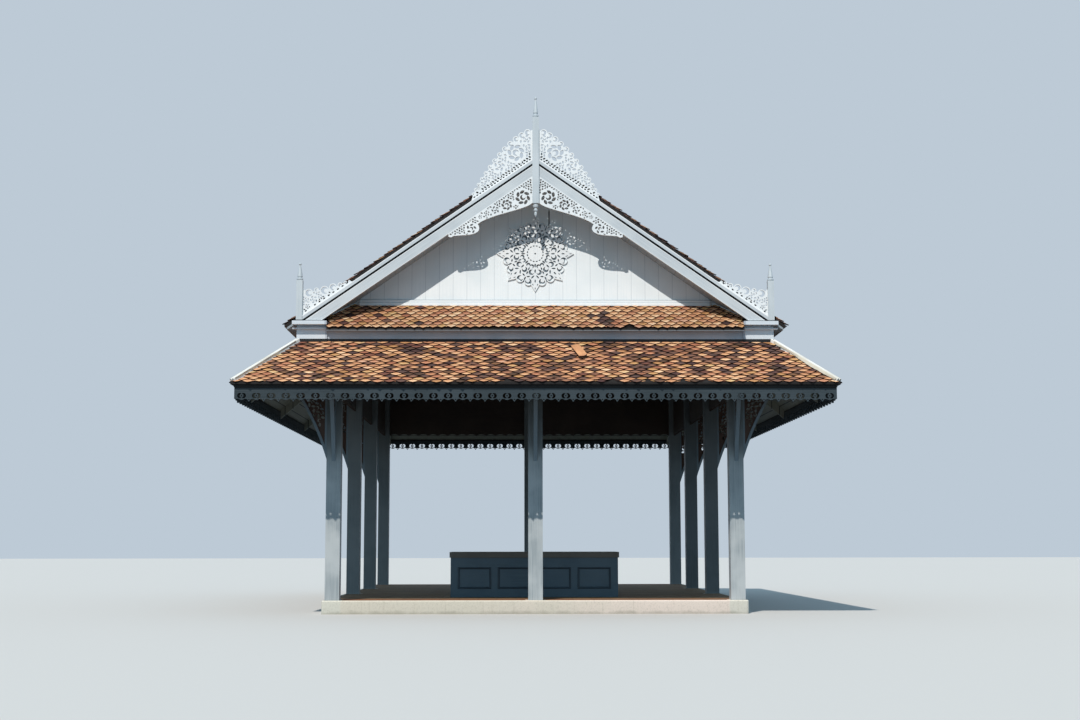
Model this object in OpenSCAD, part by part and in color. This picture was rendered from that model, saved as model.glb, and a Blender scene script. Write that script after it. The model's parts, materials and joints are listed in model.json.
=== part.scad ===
// Open garden pavilion: ten square posts on a low concrete plinth carry a
// hipped skirt roof with a pierced eaves fringe, and above it a gabled roof
// with fretwork crests. The front gable faces -Y and +Z is up. The origin is
// at the middle of the plinth, on the ground. All sizes are in millimetres.

/* [Plan] */
// Distance between post centres, the same across and along
bay = 2100; // [1900:25:2300]
// Side of a square post
post_side = 150; // [120:5:180]
// Plinth edge outside the post centre lines
plinth_reach = 105; // [90:5:140]

/* [Heights] */
// Top of the plinth above the ground
plinth_top = 140; // [100:10:200]
// Top of the posts, under the wall plates
post_top = 2857; // [2800:1:2900]
// Bottom of the boards that hang between the posts
valance_foot = 2270; // [2240:5:2300]
// Top of the tiles where the skirt roof meets the frieze
skirt_top = 2790; // [2760:5:2820]
// Top of the main roof's tiles at the ridge
main_top = 4774; // [4700:2:4850]

/* [Roofs] */
// Pitch of the skirt roof in degrees
skirt_pitch = 40; // [38:0.5:42]
// Pitch of the main roof in degrees
main_pitch = 35; // [34:0.5:36]
// Pitch of the tiled strip at the foot of a gable, in degrees
foot_pitch = 34; // [32:0.5:35]
// Frieze face outside the post centre line
frieze_reach = 365; // [350:5:380]
// Fringe face outside the post centre line
fringe_reach = 900; // [850:10:950]
// Tile tips beyond the fringe face
tile_drip = 35; // [20:5:60]
// Half width of the main roof over its tiles
main_reach = 2590; // [2570:5:2630]
// Gable end to the outside of the bargeboards, beyond the post line
verge_reach = 420; // [400:5:440]

/* [Boards] */
// Thickness of the tile layer, square to the slope
tile_layer = 35; // [30:1:40]
// Thickness of roof boards, square to the slope
roof_board = 18; // [15:1:22]
// Width of a rafter
rafter_w = 50; // [40:5:60]
// Thickness of a cut fretwork board
fret_board = 22; // [18:1:26]
// Thickness of a post bracket's rim
bracket_board = 40; // [35:1:50]
// Width of a post bracket's rim
bracket_rim = 28; // [22:1:34]
// Thickness of the openwork board inside a bracket's rim
bracket_fill = 14; // [10:1:20]

/* [Fretwork] */
// Distance between the eaves fringe's motifs
fringe_pitch = 147; // [140:1:155]
// Length of a leaf cut in the crests
leaf_length = 32; // [26:1:38]
// Width of a leaf cut in the crests
leaf_width = 18; // [12:1:20]
// Radius of a gable's star, from its centre to a point
star_r = 410; // [390:2:430]

/* [Bench] */
// Length of the bench
bench_w = 1830; // [1700:10:1900]
// Depth of the bench
bench_d = 750; // [600:10:800]
// Height of the bench over the floor
bench_h = 489; // [450:1:520]

/* [Hidden] */
$fn = 32;

// Sides are numbered from the front, turning to the right: 0 front, 1 right, 2 back, 3 left
FRONT = 0;
RIGHT = 1;
BACK = 2;
LEFT = 3;
half_w = bay;
half_d = 1.5 * bay;
function run(side) = (side % 2 == 0) ? half_w : half_d;
function offset_of(side) = (side % 2 == 0) ? half_d : half_w;
function posts_along(side) = (side % 2 == 0) ? 3 : 4;
half_post = post_side / 2;

// Skirt roof: heights at a distance d outside the post line
skirt_slope = tan(skirt_pitch);
skirt_cos = cos(skirt_pitch);
rafter_d = 75;
function skirt_tiles_at(d) = skirt_top - (d - frieze_reach) * skirt_slope;
function skirt_deck_at(d) = skirt_tiles_at(d) - tile_layer / skirt_cos;
function skirt_soffit_at(d) = skirt_deck_at(d) - roof_board / skirt_cos;
function skirt_rafter_at(d) = skirt_soffit_at(d) - rafter_d / skirt_cos;
eave_reach = fringe_reach + tile_drip;
deck_reach = fringe_reach + 5;
tile_lip = 19;
frieze_board = 22;
plate_w = 100;
plate_top = 3117;
hip_clear = rafter_w / 2 / sqrt(2) * skirt_slope;
hip_depth = 100;

// Main roof: heights at a distance x from the ridge line
main_slope = tan(main_pitch);
main_cos = cos(main_pitch);
main_rafter_d = 100;
lap = 5;
function main_tiles_at(x) = main_top - x * main_slope;
function main_deck_at(x) = main_tiles_at(x) - tile_layer / main_cos;
function main_soffit_at(x) = main_deck_at(x) - roof_board / main_cos;
function main_rafter_at(x) = main_soffit_at(x) - main_rafter_d / main_cos;
// How far from the middle a line of that slope, from a height over the ridge line, comes down to z
function main_line_at(height, z) = (height - z) / main_slope;
barge_board = 35;
barge_face = half_d + verge_reach;
barge_back = barge_face - barge_board;
ledge_top = 3000;
ledge_board = 38;
ledge_reach = 450;
ledge_half = 2505;
ledge_inner = 2150;

// Gable foot: the tiled strip from the wall down over the frieze
foot_slope = tan(foot_pitch);
foot_top = 3220;
foot_reach = 450;
foot_layer = 45;
function foot_tiles_at(d) = foot_top - d * foot_slope;
function foot_soffit_at(d) = foot_tiles_at(d) - foot_layer / cos(foot_pitch);
wall_board = 25;

// Bargeboard lines at a distance x from the middle
barge_low = 4543;
barge_groove = 4680;
barge_cap = 4724;
barge_slope = 0.696;
cap_proud = 18;
groove_w = 17;
groove_sink = 12;
king_side = 68;
king_foot = 4234;
king_top = 5153;
king_y = barge_back + king_side / 2;
finial_side = 64;
finial_x = 2434;
finial_y = barge_back + finial_side / 2;
finial_top = 3422;

// Gable fretwork: the face of its boards and their edge beside the king post
fret_y = barge_face;
fret_inner = king_side / 2;

// Bench
bench_front = 2300;
bench_lid_d = 60;
bench_lip = 12;

// Turns a piece drawn for the front, with the post line on y = 0, to any side
module facing(side) {
    rotate([0, 0, 90 * side]) translate([0, -offset_of(side), 0]) children();
}

// Carries an outline of [distance inwards, height] along X
module run_along(length) {
    rotate([90, 0, 90]) translate([0, 0, -length / 2]) linear_extrude(length) children();
}

// Stands an outline of [x, height] up, with its face on y = 0 and its back behind it
module stand(thickness) {
    translate([0, thickness, 0]) rotate([90, 0, 0]) linear_extrude(thickness) children();
}

// Puts a piece at both gables, turned round for the back one
module at_both_gables() {
    for (turn = [0, 180]) rotate([0, 0, turn]) children();
}

module both_hands() {
    for (hand = [0, 1]) mirror([hand, 0, 0]) children();
}

// A point on the curve that leaves p[0] towards p[1] and reaches p[3] from p[2]
function curve_at(p, t) =
    pow(1 - t, 3) * p[0] + 3 * pow(1 - t, 2) * t * p[1] + 3 * (1 - t) * t * t * p[2] + t * t * t * p[3];
function curve(p, steps) = [for (i = [0 : steps]) curve_at(p, i / steps)];

// Leaf cut: the lens where two equal discs cross
module leaf_cut(length, width) {
    r = (length * length + width * width) / 4 / width;
    intersection() {
        translate([0, r - width / 2]) circle(r);
        translate([0, width / 2 - r]) circle(r);
    }
}

// Curl cut: a crescent that leaves a round tongue of board inside it
module curl_cut(r, turn) {
    rotate(turn) difference() {
        circle(r);
        translate([r * 0.46, 0]) circle(r * 0.64);
    }
}

// Rosette: a curl with a ring of leaves around it
module rosette_cut(r, turn) {
    petals = (r > 60) ? 7 : 5;
    rotate(turn) {
        curl_cut(r * 0.34, 0);
        for (k = [0 : petals - 1]) rotate(k * 360 / petals)
            translate([r * 0.69, 0]) rotate(62) leaf_cut(r * 0.7, r * 0.38);
    }
}

module rosettes(spots) {
    for (spot = spots) translate([spot[0], spot[1]]) rosette_cut(spot[2] - 4, spot[0]);
}

// Lobes: the round knobs along a board's edge, each [x, height, radius], and the curl in each
module lobes(spots) {
    for (spot = spots) translate([spot[0], spot[1]]) circle(spot[2]);
}

module lobe_curls(spots) {
    for (spot = spots) translate([spot[0], spot[1]]) curl_cut(spot[2] - 10, 200 - spot[0] / 6);
}

// True when a disc of radius gap lies on a board: within xs and between two edges, each a height for an x
function on_board(x, z, gap, xs, low, high) =
    min(x - xs[0], xs[1] - x) > gap && min([for (a = [0 : 30 : 330])
        let (px = x + gap * cos(a), pz = z + gap * sin(a)) min(high(px) - pz, pz - low(px))]) > 0;
function clear_of(x, z, gap, spots) =
    len(spots) == 0 || min([for (spot = spots) norm([x - spot[0], z - spot[1]]) - spot[2]]) > gap;

// Rows of leaves along the line of height level - slope * x, turned to and fro with a curl for each
// fourth leaf, wherever the board and the spots on it leave room
module leaf_rows(xs, level, slope, rows, leaf, spots, low, high) {
    tilt = atan(slope);
    step = leaf[0] * 1.04;
    rise = leaf[0] * 0.84;
    gap = leaf[0] * 0.45;
    spare = ceil(rows * rise * abs(slope) / step);
    columns = ceil((xs[1] - xs[0]) / step / cos(tilt));
    for (row = [0 : rows - 1])
        for (column = [-spare : columns + spare]) {
            along = (column + (row % 2) / 2) * step;
            x = xs[0] + along * cos(tilt) + row * rise * sin(tilt);
            z = level - slope * xs[0] - along * sin(tilt) + row * rise * cos(tilt);
            if (on_board(x, z, gap, xs, low, high) && clear_of(x, z, leaf[0] * 0.3, spots))
                translate([x, z]) rotate((row % 2 == 0 ? 52 : -52) - tilt) {
                    if ((column + 2 * row) % 4 == 0) curl_cut(leaf[0] * 0.42, 40 * row);
                    else leaf_cut(leaf[0], leaf[1]);
                }
        }
}

// One row of ovals along such a line
module oval_row(xs, level, slope, step, oval, spots) {
    tilt = atan(slope);
    for (x = [xs[0] : step * cos(tilt) : xs[1]]) {
        z = level - slope * x;
        if (clear_of(x, z, 6, spots)) translate([x, z]) rotate(-tilt) leaf_cut(oval[0], oval[1]);
    }
}

// Plinth: a cast concrete slab, sunk for the paving but for a narrow rim and a pad under each post
floor_sink = 20;
floor_rim = 40;
module plinth() {
    slab = [2 * (half_w + plinth_reach), 2 * (half_d + plinth_reach)];
    color("antiquewhite") difference() {
        translate([-slab[0] / 2, -slab[1] / 2, 0]) cube([slab[0], slab[1], plinth_top]);
        floor_field(1);
    }
}

module floor_field(over) {
    w = 2 * (half_w + plinth_reach - floor_rim);
    d = 2 * (half_d + plinth_reach - floor_rim);
    translate([0, 0, plinth_top - floor_sink]) linear_extrude(floor_sink + over) difference() {
        square([w, d], center = true);
        for (side = [0 : 3]) rotate(90 * side)
            for (i = [0 : posts_along(side) - 1])
                translate([i * bay - run(side), -offset_of(side)]) square(2 * plinth_reach, center = true);
    }
}

module floor_paving() {
    color("indianred") floor_field(0);
}

// Post: planed square timber from the plinth to the wall plates
module post(x, y) {
    color("lightsteelblue") translate([x - half_post, y - half_post, plinth_top])
        cube([post_side, post_side, post_top - plinth_top]);
}

// Post bracket: a rim whose outer edge is one long arc, round a thinner board of openwork
arc_r = 3000;
arc_start = 17;
bracket_foot = 1575;
bracket_reach = 620;
arc_d = half_post + arc_r * cos(arc_start);
arc_z = bracket_foot - arc_r * sin(arc_start);
function rafter_line(x, inset) = skirt_rafter_at(-x) - inset / skirt_cos;

module bracket_outline(inset) {
    inner = -half_post - inset;
    difference() {
        polygon([[inner, bracket_foot], [inner, rafter_line(inner, inset)],
            [-bracket_reach, rafter_line(-bracket_reach, inset)], [-bracket_reach, bracket_foot]]);
        translate([-arc_d, arc_z]) circle(arc_r + inset, $fn = 360);
    }
}

module bracket() {
    low = function(x) arc_z + sqrt(pow(arc_r + bracket_rim, 2) - pow(arc_d + x, 2));
    high = function(x) rafter_line(x, bracket_rim);
    color("slategray") {
        run_along(bracket_board) difference() {
            bracket_outline(0);
            bracket_outline(bracket_rim);
        }
        run_along(bracket_fill) difference() {
            bracket_outline(bracket_rim);
            leaf_rows([-bracket_reach, -half_post - bracket_rim], skirt_rafter_at(0) - 1240, -skirt_slope, 24,
                [46, 25], [], low, high);
        }
    }
}

module brackets(side) {
    for (i = [0 : posts_along(side) - 1])
        facing(side) translate([i * bay - run(side), 0, 0]) bracket();
}

// Valance: boards between the posts with a scalloped foot
valance_board = 25;
scallop_r = 115;
scallop_rise = 25;
module valance(side) {
    bays = posts_along(side) - 1;
    clear_w = bay - post_side;
    scallops = 14;
    step = clear_w / scallops;
    color("sienna") facing(side)
        for (i = [0 : bays - 1])
            translate([(i + 0.5) * bay - run(side), -valance_board / 2, 0]) stand(valance_board)
                difference() {
                    translate([-clear_w / 2, valance_foot]) square([clear_w, post_top - valance_foot]);
                    for (k = [0 : scallops - 1])
                        translate([(k + 0.5) * step - clear_w / 2, valance_foot + scallop_rise - scallop_r])
                            circle(scallop_r);
                }
}

// Wall plates: deep timbers along both sides, on the post heads
module wall_plates() {
    color("slategray") both_hands()
        translate([half_w - plate_w / 2, -half_d - plate_w / 2, post_top])
            cube([plate_w, 2 * half_d + plate_w, plate_top - post_top]);
}

// Trusses: a tie between the plates at each row of posts, with a strut to the ridge
ridge_w = 60;
ridge_d = 150;
ridge_top = main_soffit_at(ridge_w / 2);
module roof_trusses() {
    tie_w = 2 * half_w - plate_w;
    color("slategray") for (i = [0 : 3]) {
        y = i * bay - half_d;
        translate([-tie_w / 2, y - plate_w / 2, post_top]) cube([tie_w, plate_w, plate_top - post_top]);
        near = max(y - plate_w / 2, wall_board - half_d);
        far = min(y + plate_w / 2, half_d - wall_board);
        translate([-plate_w / 2, near, plate_top - lap])
            cube([plate_w, far - near, ridge_top - ridge_d - plate_top + lap]);
    }
}

module ridge_beam() {
    length = 2 * (half_d - wall_board);
    color("slategray") translate([-ridge_w / 2, -length / 2, ridge_top - ridge_d])
        cube([ridge_w, length, ridge_d]);
}

// Skirt roof: tiles on boards on rafters, mitred at the hips
module skirt_profile() {
    back = frieze_reach - frieze_board;
    inner = plate_w / 2;
    polygon([
        [-inner, skirt_soffit_at(inner)],
        [-inner, skirt_deck_at(inner)],
        [-back, skirt_deck_at(back)],
        [-back, skirt_top],
        [-frieze_reach, skirt_top],
        [-eave_reach, skirt_tiles_at(eave_reach)],
        [-eave_reach, skirt_tiles_at(eave_reach) - tile_lip],
        [-deck_reach, skirt_tiles_at(deck_reach) - tile_lip * 1.2],
        [-deck_reach, skirt_soffit_at(deck_reach)]]);
}

module skirt_rafter_profile() {
    inner = plate_w / 2;
    outer = fringe_reach - fret_board;
    polygon([
        [-inner, skirt_rafter_at(inner)],
        [-inner, skirt_soffit_at(inner)],
        [-outer, skirt_soffit_at(outer)],
        [-outer, skirt_rafter_at(outer)]]);
}

module hip_wedge(side) {
    low = plate_w / 2;
    high = eave_reach + 10;
    translate([0, 0, fringe_foot]) linear_extrude(plate_top - fringe_foot)
        polygon([[-run(side) - low, -low], [run(side) + low, -low],
            [run(side) + high, -high], [-run(side) - high, -high]]);
}

module skirt_roof(side) {
    color("peru") facing(side) {
        intersection() {
            run_along(2 * (run(side) + eave_reach)) skirt_profile();
            hip_wedge(side);
        }
        for (i = [0 : posts_along(side) - 1])
            translate([i * bay - run(side), 0, 0]) run_along(rafter_w) skirt_rafter_profile();
    }
}

// Hip rafters: one under each hip, from the wall plates to the eaves corner
module hip_rafters() {
    inner = plate_w / 2;
    outer = fringe_reach - fret_board - rafter_w / 2;
    root2 = sqrt(2);
    color("slategray") for (sx = [-1, 1]) for (sy = [-1, 1])
        translate([sx * half_w, sy * half_d, 0]) rotate([0, 0, atan2(sy, sx)])
            translate([0, rafter_w / 2, 0]) rotate([90, 0, 0]) linear_extrude(rafter_w)
                polygon([
                    [inner * root2, skirt_soffit_at(inner) - hip_clear],
                    [outer * root2, skirt_soffit_at(outer) - hip_clear],
                    [outer * root2, skirt_soffit_at(outer) - hip_clear - hip_depth],
                    [inner * root2, skirt_soffit_at(inner) - hip_clear - hip_depth]]);
}

// Hip caps: a painted pair of mortar rolls over each mitre, run up against the corner of the frieze
cap_half = 36;
cap_rise = 14;
roll_r = 14;
roll_x = 19;
cap_above = 80;
cap_end = 30;
module hip_cap_outline(side_fall) {
    polygon([[-cap_half, -cap_half * side_fall], [0, 0], [cap_half, -cap_half * side_fall],
        [roll_x + roll_r, cap_rise], [-roll_x - roll_r, cap_rise]]);
    for (s = [-1, 1]) translate([s * roll_x, cap_rise]) circle(roll_r);
}

module hip_caps() {
    fall = skirt_slope / sqrt(2);
    tilt = atan(fall);
    length = cap_above + (eave_reach - frieze_reach) * sqrt(2) / cos(tilt) - cap_end;
    face_w = half_w + frieze_reach;
    face_d = half_d + frieze_reach;
    color("white") difference() {
        for (sx = [-1, 1]) for (sy = [-1, 1])
            translate([sx * face_w, sy * face_d, skirt_top]) rotate([0, 0, atan2(sy, sx)])
                rotate([0, tilt, 0]) translate([-cap_above, 0, 0]) rotate([90, 0, 90])
                    linear_extrude(length) hip_cap_outline(fall * cos(tilt));
        translate([-face_w, -face_d, fringe_foot]) cube([2 * face_w, 2 * face_d, plate_top - fringe_foot]);
        for (turn = [0, 180]) rotate([0, 0, turn]) translate([0, -half_d, 0]) both_hands()
            frieze_block();
    }
}

// Eaves fringe: one board a side, cut to rings between crescents, with a pointed drop between the rings
fringe_foot = 2125;
fringe_edge = 2151;
fringe_centre = 2182;
fringe_belly = 42;
module fringe_motif() {
    ring = 19;
    eye = 7;
    neck = 9;
    circle(eye);
    difference() {
        for (s = [-1, 1]) translate([17 * s, 0]) circle(27);
        circle(ring);
        translate([-neck / 2, -30]) square([neck, 60]);
    }
}

// The drop's sides are two hollow arcs that leave a blunt tip
module fringe_drop() {
    h = fringe_edge - fringe_foot;
    difference() {
        translate([-h, 0]) square([2 * h, h + 1]);
        for (s = [-1, 1]) translate([47 * s, -14]) circle(45);
        translate([0, 19]) circle(6);
    }
}

module fringe(side) {
    butt = (side % 2 == 0) ? 0 : fret_board;
    length = 2 * (run(side) + fringe_reach - butt);
    count = round(length / fringe_pitch);
    step = length / count;
    top = skirt_soffit_at(fringe_reach);
    color("steelblue") facing(side) translate([0, -fringe_reach, 0]) stand(fret_board) {
        difference() {
            union() {
                translate([-length / 2, fringe_edge]) square([length, top - fringe_edge]);
                for (i = [0 : count - 1])
                    translate([(i + 0.5) * step - length / 2, fringe_centre]) circle(fringe_belly);
            }
            for (i = [0 : count - 1])
                translate([(i + 0.5) * step - length / 2, fringe_centre]) fringe_motif();
        }
        for (i = [1 : count - 1])
            translate([i * step - length / 2, fringe_foot]) fringe_drop();
    }
}

// Frieze: the upright board above the skirt roof, with a ledge over it
module frieze(side) {
    ends = (side % 2 == 0);
    length = 2 * (run(side) + frieze_reach) - (ends ? 0 : 2 * frieze_board);
    top = ends ? foot_soffit_at(frieze_reach) : main_soffit_at(half_w + frieze_reach);
    color("lightsteelblue") facing(side) {
        translate([-length / 2, -frieze_reach, skirt_top])
            cube([length, frieze_board, top - skirt_top]);
        if (ends) both_hands() ledge_block();
    }
}

// Ledge block: a thicker end on the frieze, with a bead and a shelf for the bargeboard and its finial post
block_proud = 15;
bead_foot = 2918;
bead_h = 14;
bead_proud = 40;
ledge_back = 160;
module frieze_block() {
    reach = frieze_reach + block_proud;
    translate([ledge_inner, -reach, skirt_top])
        cube([half_w + frieze_reach - ledge_inner, block_proud + lap, bead_foot - skirt_top]);
}

module ledge_block() {
    w = half_w + frieze_reach - ledge_inner;
    w_inside = main_line_at(main_soffit_at(0), ledge_top) - ledge_inner;
    under = ledge_top - ledge_board;
    frieze_block();
    translate([ledge_inner, -frieze_reach, bead_foot]) cube([w, frieze_board, under - bead_foot]);
    translate([ledge_inner, -frieze_reach, bead_foot])
        cube([w - frieze_board, frieze_reach - ledge_back, under - bead_foot]);
    translate([ledge_inner, -frieze_reach - bead_proud, bead_foot])
        cube([w + bead_proud, bead_proud + lap, bead_h]);
    translate([ledge_inner, -ledge_reach, under]) cube([w_inside, ledge_reach - ledge_back, ledge_board]);
    translate([ledge_inner, -ledge_reach, under])
        cube([ledge_half - ledge_inner, ledge_reach - barge_back + half_d, ledge_board]);
}

// Foot roof: the narrow strip of tiles at the foot of a gable wall
module foot_roof() {
    half_low = ledge_inner;
    color("peru") translate([0, -half_d, 0]) intersection() {
        run_along(2 * half_low) polygon([
            [0, foot_soffit_at(0)],
            [0, foot_top],
            [-foot_reach, foot_tiles_at(foot_reach)],
            [-foot_reach, foot_tiles_at(foot_reach) - tile_lip],
            [-frieze_reach - 10, foot_soffit_at(frieze_reach + 10)]]);
        stand_from_front(foot_reach + lap, lap) polygon([
            [-half_low, skirt_top], [half_low, skirt_top], [half_low, main_rafter_at(half_low)],
            [0, main_rafter_at(0)], [-half_low, main_rafter_at(half_low)]]);
    }
}

// Stands an outline from y = -ahead to y = behind
module stand_from_front(ahead, behind) {
    translate([0, behind, 0]) rotate([90, 0, 0]) linear_extrude(ahead + behind) children();
}

// Gable wall: upright boards on the end tie, with a moulding along the foot
wall_half = half_w - plate_w / 2;
module gable_wall() {
    mould_half = 1855;
    color("white") {
        translate([0, -half_d, 0]) stand(wall_board) polygon([
            [-wall_half, plate_top], [wall_half, plate_top],
            [wall_half, main_soffit_at(wall_half)], [0, main_soffit_at(0)],
            [-wall_half, main_soffit_at(wall_half)]]);
        translate([0, -half_d, 0]) run_along(2 * mould_half) polygon([
            [0, foot_top], [-34, foot_top], [-34, foot_top + 25], [-22, foot_top + 38],
            [-22, foot_top + 58], [-10, foot_top + 66], [0, foot_top + 66]]);
    }
}

// Gable star: a pierced disc with eight points and a pair of lobes between them
star_board = 20;
star_z = 3780;
module star_outline() {
    circle(300);
    for (k = [0 : 7]) rotate(45 * k) {
        for (s = [-1, 1]) rotate(13.5 * s) translate([308, 0]) circle(44);
        polygon([[280, -66], [352, -36], [star_r, 0], [352, 36], [280, 66]]);
    }
}

// The cuts of one eighth: leaves in line with its point, curls and leaves on both sides of it
module star_eighth() {
    translate([128, 0]) leaf_cut(46, 18);
    translate([189, 0]) leaf_cut(46, 17);
    translate([296, 0]) leaf_cut(38, 15);
    translate([star_r - 34, 0]) leaf_cut(30, 10);
    for (s = [-1, 1]) {
        rotate(14 * s) translate([140, 0]) curl_cut(22, 30 * s);
        rotate(11.5 * s) translate([204, 0]) curl_cut(29, 180 + 60 * s);
        rotate(6 * s) translate([252, 0]) rotate(38 * s) leaf_cut(48, 16);
        rotate(16.5 * s) translate([257, 0]) rotate(68 * s) leaf_cut(38, 16);
        rotate(13.5 * s) translate([310, 0]) curl_cut(33, 180 - 35 * s);
        rotate(4.2 * s) translate([336, 0]) rotate(-30 * s) leaf_cut(30, 11);
    }
    rotate(22.5) {
        translate([176, 0]) leaf_cut(40, 14);
        translate([222, 0]) leaf_cut(38, 16);
        translate([288, 0]) leaf_cut(44, 16);
    }
}

module gable_star() {
    color("white") translate([0, -half_d - star_board, star_z]) stand(star_board) difference() {
        star_outline();
        circle(9);
        for (k = [0 : 15]) rotate(22.5 * k + 11.25) translate([84, 0]) rotate(90) leaf_cut(24, 13);
        for (k = [0 : 7]) rotate(45 * k) star_eighth();
    }
}

module gable_stars() {
    at_both_gables() gable_star();
}

// Main roof: tiles on boards on rafters, boxed in over the gable walls
rafters_a_side = 9;
end_rafter = 150;
module main_roof(hand) {
    edge = half_w + frieze_reach - frieze_board;
    deck = main_reach - 25;
    color("peru") mirror([hand, 0, 0]) {
        translate([0, barge_back, 0]) rotate([90, 0, 0]) linear_extrude(2 * barge_back) polygon([
            [0, main_soffit_at(0)], [0, main_top],
            [main_reach, main_tiles_at(main_reach)],
            [main_reach, main_tiles_at(main_reach) - tile_lip],
            [deck, main_tiles_at(deck) - tile_lip * 1.5], [deck, main_soffit_at(deck)]]);
        difference() {
            union() {
                for (i = [0 : rafters_a_side - 1])
                    translate([0, (i / (rafters_a_side - 1) - 0.5) * 2 * (half_d - end_rafter), 0])
                        main_rafter(edge);
                for (end = [-1, 1]) verge_box(end);
            }
            translate([half_w - plate_w / 2, -half_d - plate_w / 2, post_top])
                cube([plate_w, 2 * half_d + plate_w, plate_top - post_top]);
        }
    }
}

module main_rafter(edge) {
    translate([0, rafter_w / 2, 0]) rotate([90, 0, 0]) linear_extrude(rafter_w) polygon([
        [ridge_w / 2, main_rafter_at(ridge_w / 2)], [ridge_w / 2, main_soffit_at(ridge_w / 2) + lap],
        [edge, main_soffit_at(edge) + lap], [edge, main_rafter_at(edge)]]);
}

// Boxed soffit between a gable wall and its bargeboards
module verge_box(end) {
    low_x = main_line_at(main_rafter_at(0), ledge_top);
    high_x = main_line_at(main_soffit_at(0), ledge_top);
    y0 = (end < 0) ? -barge_back : half_d;
    translate([0, y0 + barge_back - half_d, 0]) rotate([90, 0, 0]) linear_extrude(barge_back - half_d)
        polygon([[0, main_rafter_at(0)], [0, main_soffit_at(0) + lap],
            [high_x, ledge_top + lap], [high_x, ledge_top], [low_x, ledge_top]]);
}

// Ridge cap: a round roll of mortar bedded over the top row of tiles
module ridge_cap() {
    w = 90;
    roll = 75;
    sunk = 30;
    length = 2 * barge_back;
    color("white") translate([0, length / 2, 0]) rotate([90, 0, 0]) linear_extrude(length) difference() {
        translate([0, main_top - sunk]) circle(roll);
        polygon([[-w, main_tiles_at(w)], [0, main_top], [w, main_tiles_at(w)],
            [w, main_top - sunk - roll], [-w, main_top - sunk - roll]]);
    }
}

// Bargeboards: a raking pair that stands on the ledges, with a groove under a moulded cap
function barge_line(level, x) = level - barge_slope * x;
module barge_strip(low, high, from, to) {
    polygon([[from, barge_line(low, from)], [from, barge_line(high, from)],
        [to, barge_line(high, to)], [to, barge_line(low, to)]]);
}

module bargeboards() {
    inner = king_side / 2;
    outer = finial_x - finial_side / 2;
    foot_x = (barge_low - ledge_top) / barge_slope;
    color("lightsteelblue") translate([0, -barge_face, 0]) both_hands() {
        difference() {
            stand(barge_board) polygon([
                [inner, barge_line(barge_low, inner)], [inner, barge_line(barge_groove, inner)],
                [outer, barge_line(barge_groove, outer)], [outer, ledge_top], [foot_x, ledge_top]]);
            stand_from_front(1, groove_sink)
                barge_strip(barge_groove - groove_w, barge_groove, 0, half_w + outer);
        }
        translate([0, -cap_proud, 0]) stand(barge_board + cap_proud)
            barge_strip(barge_groove, barge_cap, inner, outer);
    }
}

// King post: a square post with a turned finial on top and a turned pendant below
module king_post() {
    half = king_side / 2;
    color("white") translate([0, -king_y, 0]) {
        translate([-half, -half, king_foot]) cube([king_side, king_side, king_top - king_foot]);
        translate([0, 0, king_top]) turned_finial(h = 226, r = 24);
        translate([0, 0, king_foot]) mirror([0, 0, 1]) turned_pendant();
    }
}

// A finial turned to a collar, a long taper and a ball
module turned_finial(h, r) {
    rotate_extrude() polygon([[0, 0], [r, 0], [r * 1.3, h * 0.05], [r * 1.3, h * 0.09],
        [r * 0.8, h * 0.14], [r * 1.05, h * 0.22], [r * 0.85, h * 0.4], [r * 0.35, h * 0.8],
        [r * 0.3, h * 0.84], [r * 0.55, h * 0.88], [r * 0.55, h * 0.93], [r * 0.2, h * 0.98], [0, h]]);
}

module turned_pendant() {
    rotate_extrude() polygon([[0, 0], [22, 0], [22, 8], [28, 22], [26, 38], [12, 50], [20, 62], [20, 76],
        [10, 88], [16, 102], [14, 120], [6, 136], [0, 141]]);
}

module king_posts() {
    at_both_gables() king_post();
}

module finial_posts() {
    half = finial_side / 2;
    color("lightsteelblue") at_both_gables() both_hands()
        translate([finial_x, -finial_y, 0]) {
            translate([-half, -half, ledge_top]) cube([finial_side, finial_side, finial_top - ledge_top]);
            translate([0, 0, finial_top]) turned_finial(h = 188, r = 26);
        }
}

// Stands a cut board in the plane of the bargeboards, on both hands of both gables
module gable_board() {
    color("white") at_both_gables() translate([0, -fret_y, 0]) both_hands() stand(fret_board) children();
}

// Crest fretwork: stands on the caps against the king post, with lobes along its top
crest_end = 668;
crest_top = 5022;
crest_rosettes = [[207, 4776, 100], [378, 4632, 64], [508, 4492, 46], [93, 4922, 50], [598, 4402, 28]];
crest_lobes = [for (i = [0 : 12])
    let (spot = curve_at([[84, 4990], [330, 4890], [560, 4500], [650, 4335]], i / 12))
    [spot[0], spot[1], 37 - 1.7 * i]];
module crest_fretwork() {
    low = function(x) barge_line(barge_cap, x);
    top = concat([[fret_inner, crest_top]], [for (spot = crest_lobes) [spot[0], spot[1]]],
        [[crest_end, low(crest_end)]]);
    high = function(x) lookup(x, top);
    gable_board() difference() {
        union() {
            polygon(concat([[fret_inner, low(fret_inner)]], top));
            lobes(crest_lobes);
        }
        lobe_curls(crest_lobes);
        rosettes(crest_rosettes);
        oval_row([fret_inner + 26, crest_end - 14], barge_cap + 21, barge_slope, 37, [27, 15],
            crest_rosettes);
        leaf_rows([fret_inner, crest_end], barge_cap + 50, barge_slope, 12, [leaf_length, leaf_width],
            concat(crest_rosettes, crest_lobes), low, high);
    }
}

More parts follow.
